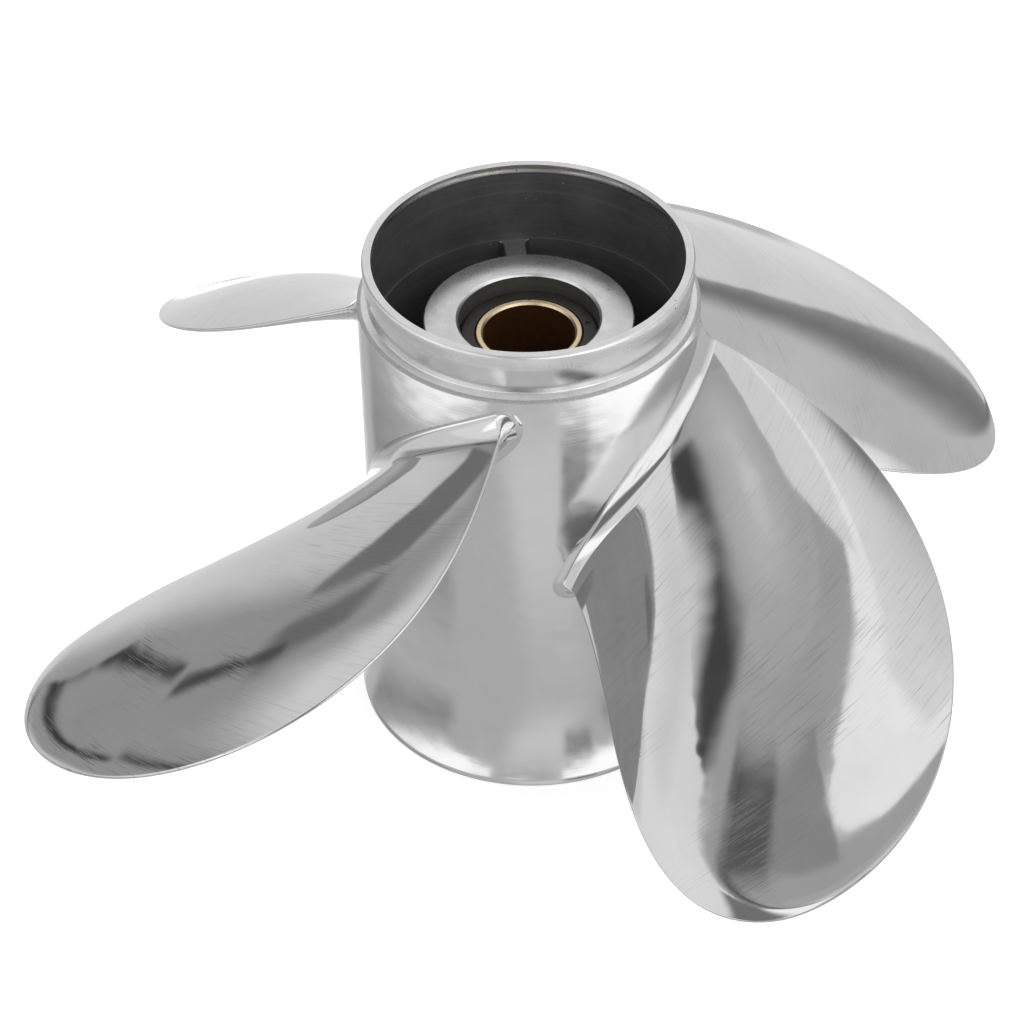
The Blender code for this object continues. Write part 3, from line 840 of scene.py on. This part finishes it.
mark_by_place(barrel, {"buffed": buffed, "turned": turned_steel, "collar": collar_steel, "gritty": gritty,
                       "dark": dark_skin}, barrel_finish)
mark_by_place(inner_hub, {"turned": turned_steel, "dark": dark_skin}, inner_hub_finish)
mark_by_place(sleeve, {"faced": faced_brass, "bore": oiled_bore}, sleeve_finish)
for rib in ribs:
    rib.data.materials.append(gritty)
for blade in blades:
    blade.data.materials.clear()
    blade.data.materials.append(mirror)
rubber.data.materials.clear()
rubber.data.materials.append(rubber_black)

# %% Ride and replace
for piece in (barrel, inner_hub, *ribs):
    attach(piece, "propeller")
    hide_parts("hub_casting")
for index, blade in enumerate(blades):
    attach(blade, "propeller")
    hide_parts(f"blade_{index + 1}")
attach(rubber, "propeller")
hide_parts("rubber_bushing")
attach(sleeve, "sleeve")
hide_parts("drive_sleeve")

# %% Camera
CAMERA_DISTANCE = 0.8331
CAMERA_ELEVATION = radians(36.214)
camera_data = bpy.data.cameras.new("studio_camera")
camera_data.sensor_width = 36.0
camera_data.lens = 115.88
camera = bpy.data.objects.new("studio_camera", camera_data)
bpy.context.scene.collection.objects.link(camera)
camera.location = (0, -CAMERA_DISTANCE * cos(CAMERA_ELEVATION),
                   HUB_LENGTH + CAMERA_DISTANCE * sin(CAMERA_ELEVATION))
camera.rotation_euler = (radians(49.325), radians(0.791), radians(-0.234))
bpy.context.scene.camera = camera

# %% [markdown]
# ## The studio
#
# A mirror shows its room, so the room is designed first: a big softbox at the right, a narrower one
# at the left, a dark gap between them where the camera stands, a grey floor and ceiling, and a lit
# sweep behind. They are painted on the world as soft-edged cards. Each card is placed by the direction
# it is seen in from the object: degrees round from the camera, degrees up, and half sizes.

# %% Paint the studio on the world
STUDIO_CARDS = (    # round, up, half width, half height, lean, edge softness, brightness
    (-87, 0, 59, 27, 0.00, 10, 0.90),        # left wall
    (0, 90, 400, 32, 0.00, 3, 0.72),         # ceiling
    (89, 47, 63, 12, 0.10, 5, 1.05),         # lit wall above, right
    (41, 10, 41, 41, -0.32, 7, 1.40),        # right softbox
    (116, 6, 56, 33, 0.48, 30, 0.72),        # right wall
    (136, 10, 6, 28, -0.50, 12, 0.27),       # dark gap beside the sweep
    (161, 10, 20, 40, -0.50, 1.5, 0.93),     # sweep behind, right
    (-49, 24, 36, 29, -0.42, 6, 1.07),       # left softbox
    (-30, 0, 8, 23, -1.26, 7, 1.60),         # its bright edge
    (-6, 15, 11, 41, -0.34, 8, 0.26),        # the gap where the camera stands
    (0, -66, 400, 48, 0.00, 3, 0.60),        # floor
    (-175, -26, 22, 28, -0.12, 21, 0.95),    # sweep behind, left
    (6, -29, 20, 8, -1.00, 20, 0.84),        # light pool on the floor
    (-92, -34, 36, 3.0, 0.00, 12, 0.30),     # shade on the floor, left
    (100, -36, 52, 4.0, 0.00, 9, 0.34),      # shade on the floor, right
    (-56, -22, 22, 4, 8.00, 4, 1.60),        # softbox shine on the floor, left
    (62, -24, 24, 7, -7.00, 4, 1.60),        # softbox shine on the floor, right
    (28, -27.5, 9, 3.4, 0.00, 5, 0.30),      # stand's shadow
    (-5, -19.3, 22, 1.1, 0.00, 2, 0.28),     # dark edge of the table
    (4, 66, 88, 10.5, 0.00, 12, 0.58),       # lower ceiling
    (4, 61.5, 88, 5.7, 0.00, 2, 0.52),         # its foot
    (2, 56, 26, 3.5, 0.00, 2, 0.37),         # beam below it
    (74, 54, 54, 3.2, 9.00, 2.0, 1.22),      # light strip under the ceiling, right
    (118, 68, 26, 14, 0.00, 2, 1.00),        # lit end of the ceiling
    (0, 90, 400, 9, 0.00, 3, 0.88),          # ceiling lamp
    (-62, 58, 17, 9, 0.90, 12, 0.08),        # dark corner of the ceiling
    (-56, 49.5, 16, 5, 4.60, 1.5, 1.05),     # top edge of the left softbox
    (-14, 58.6, 16, 1.0, 0.00, 6, 0.04),     # dark seam under the ceiling
    (-83, 58, 16, 20, 0.31, 12, 0.92),       # light part of the ceiling, left
    (-150, 15, 22, 60, 0.45, 14, 0.84),      # sweep behind, far left
    (-119, 26, 13, 36, 0.47, 12, 0.43),      # grey screen, left
    (-111, 42, 5, 8, 0.20, 5, 0.22),         # dark flag
    (-126, 41, 5, 8, 0.45, 3, 0.24),         # second flag
    (-131, 9, 1.0, 9.5, 0.95, 1.6, 0.06),    # flag's stand, foot
    (-114, 29, 1.1, 9.5, 0.57, 1.8, 0.10),     # flag's stand, pole
    (-172, -38, 9, 9, 0.00, 6, 1.90),        # low lamp behind
)


def paint_studio():
    world = bpy.data.worlds.new("painted_studio")
    world.use_nodes = True
    bpy.context.scene.world = world
    tree = world.node_tree

    def calculate(operation, *values):
        return add_node(tree, "ShaderNodeMath", dict(enumerate(values)), operation=operation).outputs[0]

    def edge(distance, half, softness):
        ramp = {"Value": distance, "From Min": half - softness / 2, "From Max": half + softness / 2,
                "To Min": 1.0, "To Max": 0.0}
        return add_node(tree, "ShaderNodeMapRange", ramp, interpolation_type="SMOOTHSTEP").outputs[0]

    direction = add_node(tree, "ShaderNodeTexCoord").outputs["Generated"]
    x, y, z = add_node(tree, "ShaderNodeSeparateXYZ", {0: direction}).outputs
    around = calculate("DEGREES", calculate("ARCTAN2", x, calculate("MULTIPLY", y, -1.0)))
    up = calculate("DEGREES", calculate("ARCSINE", z))
    light = 0.85
    for centre, centre_up, half_width, half_height, lean, softness, brightness in STUDIO_CARDS:
        above = calculate("SUBTRACT", up, centre_up)
        leaned = calculate("MULTIPLY_ADD", above, -lean, around)
        aside = calculate("ABSOLUTE", calculate("SUBTRACT", leaned, centre))
        mask = calculate("MULTIPLY", edge(aside, half_width, softness),
                         edge(calculate("ABSOLUTE", above), half_height, softness))
        light = add_node(tree, "ShaderNodeMix", {0: mask, 2: light, 3: brightness}).outputs[0]
    tree.links.new(light, tree.nodes["Background"].inputs["Color"])


paint_studio()
bpy.context.scene.view_settings.view_transform = "Standard"     # the sheet of a product photograph

# %% [markdown]
# ## Floor
#
# A plain sheet of white acrylic, lit a little from below as on a light table. It is left out of the
# mirror reflections: the painted floor stands for it there, so that the metal keeps its contrast.

# %% Floor
deselect()
bpy.ops.mesh.primitive_plane_add(size=6.0)
floor = name_new("studio_floor")
floor_material, floor_tree, floor_shader = new_material(
    "white_acrylic_sheet", Base_Color=colour("#F7F7F7"), Roughness=0.9, Emission_Strength=0.55,
    Emission_Color=colour("#FFFFFF"))
floor.data.materials.append(floor_material)
floor.visible_glossy = False
